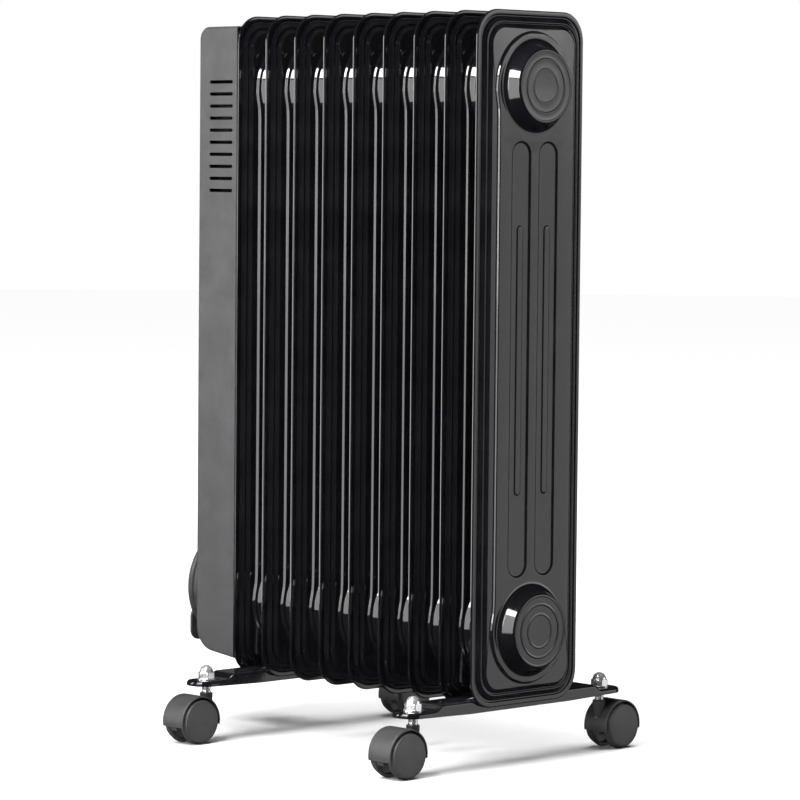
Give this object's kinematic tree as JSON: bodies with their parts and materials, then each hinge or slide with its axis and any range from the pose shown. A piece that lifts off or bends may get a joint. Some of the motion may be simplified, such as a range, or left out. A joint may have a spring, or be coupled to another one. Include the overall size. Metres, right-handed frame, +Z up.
{
  "type": "oil filled radiator heater",
  "caption": "Upright oil filled electric radiator: a row of pressed steel fins, a control housing with dials and cord winder at one end, and foot bars on twin wheel casters.",
  "frame": {"origin": "on the floor, in the middle of the heater's bounding box without its cord", "axes": "+X along the row of fins, away from the control housing; +Y across the row; +Z up"},
  "size_m": [0.4078, 0.3054, 0.632],
  "materials": {
    "gloss_enamel": "high gloss black stove enamel",
    "bare_steel": "plain drawn steel",
    "plated_sheet": "galvanised sheet",
    "housing_paint": "matte dark grey powder coat",
    "chrome": "bright nickel chrome plating",
    "black_plastic": "fine grained black moulding",
    "knob_plastic": "satin black moulding",
    "zinc": "zinc plated",
    "switch_plastic": "pale heat resisting moulding",
    "lamp_lens": "clear red lens",
    "cord_sheath": "matte black sheath",
    "plug_rubber": "matte black moulded rubber",
    "bar_paint": "satin black paint",
    "caster_plastic": "matte black nylon",
    "wheel_plastic": "matte black nylon"
  },
  "bodies": {
    "heater": {"fin_1": "gloss_enamel", "fin_2": "gloss_enamel", "fin_3": "gloss_enamel", "fin_4": "gloss_enamel", "fin_5": "gloss_enamel", "fin_6": "gloss_enamel", "fin_7": "gloss_enamel", "fin_8": "gloss_enamel", "fin_9": "gloss_enamel", "upper_end_cup": "gloss_enamel", "lower_end_cup": "gloss_enamel", "heating_element": "bare_steel", "element_flange": "bare_steel", "collector_closure": "bare_steel", "u_bolt_near": "bare_steel", "u_bolt_far": "bare_steel", "thermal_cutout": "bare_steel", "plug_pins": "bare_steel", "wing_nuts": "bare_steel", "mounting_plate": "plated_sheet", "housing": "housing_paint", "cap_nuts": "chrome", "caster_stems": "chrome", "stem_washers": "chrome", "housing_screws": "chrome", "control_panel": "black_plastic", "cord_gland": "black_plastic", "cord_winder": "black_plastic", "thermostat_body": "switch_plastic", "selector_body": "switch_plastic", "tip_over_switch": "switch_plastic", "terminal_block": "switch_plastic", "pilot_lamp": "lamp_lens", "cord_lead_in": "cord_sheath", "cord_coil": "cord_sheath", "cord_lead_out": "cord_sheath", "plug": "plug_rubber", "foot_bar_near": "bar_paint", "foot_bar_far": "bar_paint"},
    "thermostat_dial": {"thermostat_knob": "knob_plastic", "thermostat_spindle": "zinc"},
    "selector_dial": {"selector_knob": "knob_plastic", "selector_spindle": "zinc"},
    "caster_1": {"caster_hood_1": "caster_plastic", "caster_axle_1": "zinc"},
    "wheel_1a": {"caster_wheel_1a": "wheel_plastic"},
    "wheel_1b": {"caster_wheel_1b": "wheel_plastic"},
    "caster_2": {"caster_hood_2": "caster_plastic", "caster_axle_2": "zinc"},
    "wheel_2a": {"caster_wheel_2a": "wheel_plastic"},
    "wheel_2b": {"caster_wheel_2b": "wheel_plastic"},
    "caster_3": {"caster_hood_3": "caster_plastic", "caster_axle_3": "zinc"},
    "wheel_3a": {"caster_wheel_3a": "wheel_plastic"},
    "wheel_3b": {"caster_wheel_3b": "wheel_plastic"},
    "caster_4": {"caster_hood_4": "caster_plastic", "caster_axle_4": "zinc"},
    "wheel_4a": {"caster_wheel_4a": "wheel_plastic"},
    "wheel_4b": {"caster_wheel_4b": "wheel_plastic"}
  },
  "joints": [
    {"name": "thermostat_turn", "type": "hinge", "parent": "heater", "child": "thermostat_dial", "pos_m": [-0.168, 0, 0.545], "axis": [-1, 0, 0], "range_deg": [-135, 135]},
    {"name": "selector_turn", "type": "hinge", "parent": "heater", "child": "selector_dial", "pos_m": [-0.168, 0, 0.448], "axis": [-1, 0, 0], "range_deg": [0, 180]},
    {"name": "caster_swivel_1", "type": "hinge", "parent": "heater", "child": "caster_1", "pos_m": [-0.09575, -0.1135, 0.043], "axis": [0, 0, 1], "continuous": true},
    {"name": "wheel_spin_1a", "type": "hinge", "parent": "caster_1", "child": "wheel_1a", "pos_m": [-0.09575, -0.1305, 0.02], "axis": [1, 0, 0], "continuous": true},
    {"name": "wheel_spin_1b", "type": "hinge", "parent": "caster_1", "child": "wheel_1b", "pos_m": [-0.09575, -0.1305, 0.02], "axis": [1, 0, 0], "continuous": true},
    {"name": "caster_swivel_2", "type": "hinge", "parent": "heater", "child": "caster_2", "pos_m": [0.15975, -0.1135, 0.043], "axis": [0, 0, 1], "continuous": true},
    {"name": "wheel_spin_2a", "type": "hinge", "parent": "caster_2", "child": "wheel_2a", "pos_m": [0.15975, -0.1305, 0.02], "axis": [1, 0, 0], "continuous": true},
    {"name": "wheel_spin_2b", "type": "hinge", "parent": "caster_2", "child": "wheel_2b", "pos_m": [0.15975, -0.1305, 0.02], "axis": [1, 0, 0], "continuous": true},
    {"name": "caster_swivel_3", "type": "hinge", "parent": "heater", "child": "caster_3", "pos_m": [0.15975, 0.1135, 0.043], "axis": [0, 0, 1], "continuous": true},
    {"name": "wheel_spin_3a", "type": "hinge", "parent": "caster_3", "child": "wheel_3a", "pos_m": [0.15975, 0.1305, 0.02], "axis": [1, 0, 0], "continuous": true},
    {"name": "wheel_spin_3b", "type": "hinge", "parent": "caster_3", "child": "wheel_3b", "pos_m": [0.15975, 0.1305, 0.02], "axis": [1, 0, 0], "continuous": true},
    {"name": "caster_swivel_4", "type": "hinge", "parent": "heater", "child": "caster_4", "pos_m": [-0.09575, 0.1135, 0.043], "axis": [0, 0, 1], "continuous": true},
    {"name": "wheel_spin_4a", "type": "hinge", "parent": "caster_4", "child": "wheel_4a", "pos_m": [-0.09575, 0.1305, 0.02], "axis": [1, 0, 0], "continuous": true},
    {"name": "wheel_spin_4b", "type": "hinge", "parent": "caster_4", "child": "wheel_4b", "pos_m": [-0.09575, 0.1305, 0.02], "axis": [1, 0, 0], "continuous": true}
  ]
}
